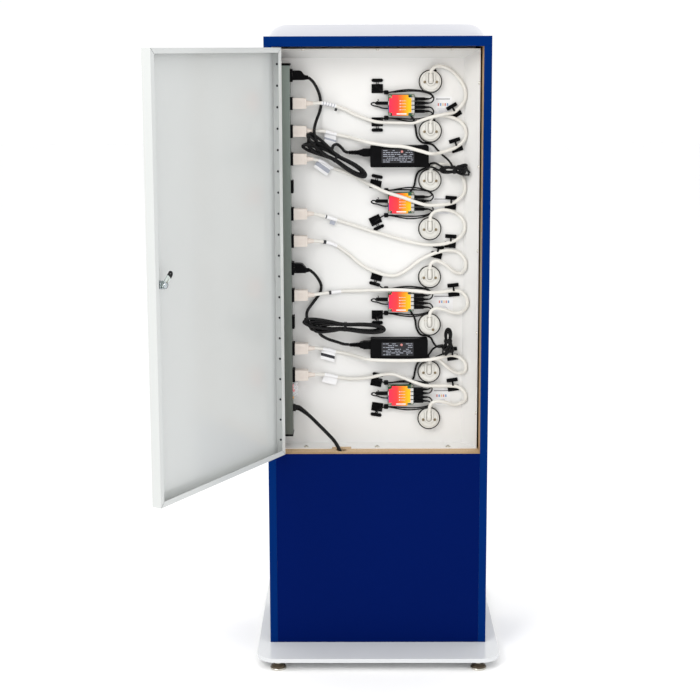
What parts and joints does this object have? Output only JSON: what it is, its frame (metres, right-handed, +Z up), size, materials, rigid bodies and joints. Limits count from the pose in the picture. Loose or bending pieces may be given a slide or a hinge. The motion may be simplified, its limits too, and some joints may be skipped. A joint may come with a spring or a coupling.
{
  "type": "phone charging kiosk",
  "caption": "Free-standing phone charging kiosk on a square base plate, with its rear service door swung open on a power strip, corded charging modules and hub boards.",
  "frame": {"origin": "on the floor under the middle of the square base plate", "axes": "+Z up, users stand on the -Y side, the rear service door is on the +Y side"},
  "size_m": [0.7975, 0.9444, 1.572],
  "materials": {
    "white_steel": "fine white powder coat",
    "blue_board": "deep blue laminate on board",
    "raw_board": "raw particle board",
    "white_fascia": "white acrylic, satin",
    "hinge_steel": "drawn nickel steel",
    "pin_steel": "drawn steel",
    "lock_chrome": "polished chrome",
    "lock_steel": "stamped zinc-plated steel",
    "strike_steel": "stamped zinc-plated steel",
    "strip_alu": "grey anodised extrusion",
    "strip_plastic": "fine moulded texture",
    "clear_guard": "clear polycarbonate",
    "rocker_red": "translucent red moulding",
    "lamp_amber": "amber lens",
    "white_flex": "satin vinyl jacket",
    "white_moulding": "satin moulding",
    "black_flex": "satin vinyl jacket",
    "black_moulding": "satin moulding",
    "black_case": "fine moulded texture",
    "board_green": "solder mask",
    "cover_orange": "printed film, satin",
    "socket_metal": "tinned steel",
    "module_white": "moulded, light gloss",
    "tie_black": "nylon",
    "screw_zinc": "zinc plated",
    "foot_zinc": "zinc plated with a dark pad"
  },
  "bodies": {
    "kiosk": {"base_plate": "white_steel", "cabinet_sides": "blue_board", "cabinet_top": "blue_board", "ledge_shelf": "raw_board", "cabinet_floor": "raw_board", "lower_rear_panel": "blue_board", "front_fascia": "white_fascia", "charging_bay": "white_steel", "phone_shelves": "white_steel", "service_tray": "white_steel", "hinge_leaf_cabinet": "hinge_steel", "hinge_pin": "pin_steel", "strike_plate": "strike_steel", "strip_housing": "strip_alu", "strip_end_caps": "strip_plastic", "strip_outlets": "strip_plastic", "switch_guard": "clear_guard", "strip_lamp": "lamp_amber", "strip_gland": "strip_plastic", "white_plugs": "white_moulding", "white_cord_1": "white_flex", "white_cord_2": "white_flex", "white_cord_3": "white_flex", "white_cord_4": "white_flex", "white_cord_5": "white_flex", "white_cord_6": "white_flex", "white_cord_7": "white_flex", "white_cord_8": "white_flex", "black_plugs": "black_moulding", "brick_lead_1": "black_flex", "brick_lead_2": "black_flex", "brick_hank_1": "black_flex", "brick_hank_2": "black_flex", "lead_connectors": "black_moulding", "power_bricks": "black_case", "dc_leads": "black_flex", "dc_hanks": "black_flex", "hub_boards": "board_green", "hub_covers": "cover_orange", "hub_sockets": "socket_metal", "usb_plugs": "black_moulding", "usb_cables": "black_flex", "lead_boots": "black_moulding", "charging_modules": "module_white", "module_caps": "module_white", "cap_ties": "tie_black", "cable_clips": "tie_black", "fixing_screws": "screw_zinc", "mains_cord": "black_flex", "mains_coil": "black_flex", "mains_plug": "black_moulding"},
    "door": {"door_pan": "white_steel", "hinge_leaf_door": "hinge_steel", "lock_body": "lock_chrome"},
    "lock_cam": {"lock_cam": "lock_steel"},
    "strip_rocker": {"strip_rocker": "rocker_red"},
    "foot_front_left": {"foot_front_left": "foot_zinc"},
    "foot_front_right": {"foot_front_right": "foot_zinc"},
    "foot_rear_left": {"foot_rear_left": "foot_zinc"},
    "foot_rear_right": {"foot_rear_right": "foot_zinc"}
  },
  "joints": [
    {"name": "door_hinge", "type": "hinge", "parent": "kiosk", "child": "door", "pos_m": [0.2505, 0.1982, 1], "axis": [0, 0, -1], "range_deg": [-120, 55]},
    {"name": "lock_turn", "type": "hinge", "parent": "door", "child": "lock_cam", "pos_m": [0.48498, 0.61073, 1.0135], "axis": [-0.866, 0.5, 0], "range_deg": [-45, 135]},
    {"name": "strip_switch", "type": "hinge", "parent": "kiosk", "child": "strip_rocker", "pos_m": [0.215, 0.1188, 0.671], "axis": [0, 1, 0], "range_deg": [-16, 0]},
    {"name": "level_foot_front_left", "type": "hinge", "parent": "kiosk", "child": "foot_front_left", "pos_m": [-0.247, -0.279, 0.02], "axis": [0, 0, 1], "continuous": true},
    {"name": "level_foot_front_right", "type": "hinge", "parent": "kiosk", "child": "foot_front_right", "pos_m": [0.247, -0.279, 0.02], "axis": [0, 0, 1], "continuous": true},
    {"name": "level_foot_rear_left", "type": "hinge", "parent": "kiosk", "child": "foot_rear_left", "pos_m": [-0.247, 0.279, 0.02], "axis": [0, 0, 1], "continuous": true},
    {"name": "level_foot_rear_right", "type": "hinge", "parent": "kiosk", "child": "foot_rear_right", "pos_m": [0.247, 0.279, 0.02], "axis": [0, 0, 1], "continuous": true}
  ]
}
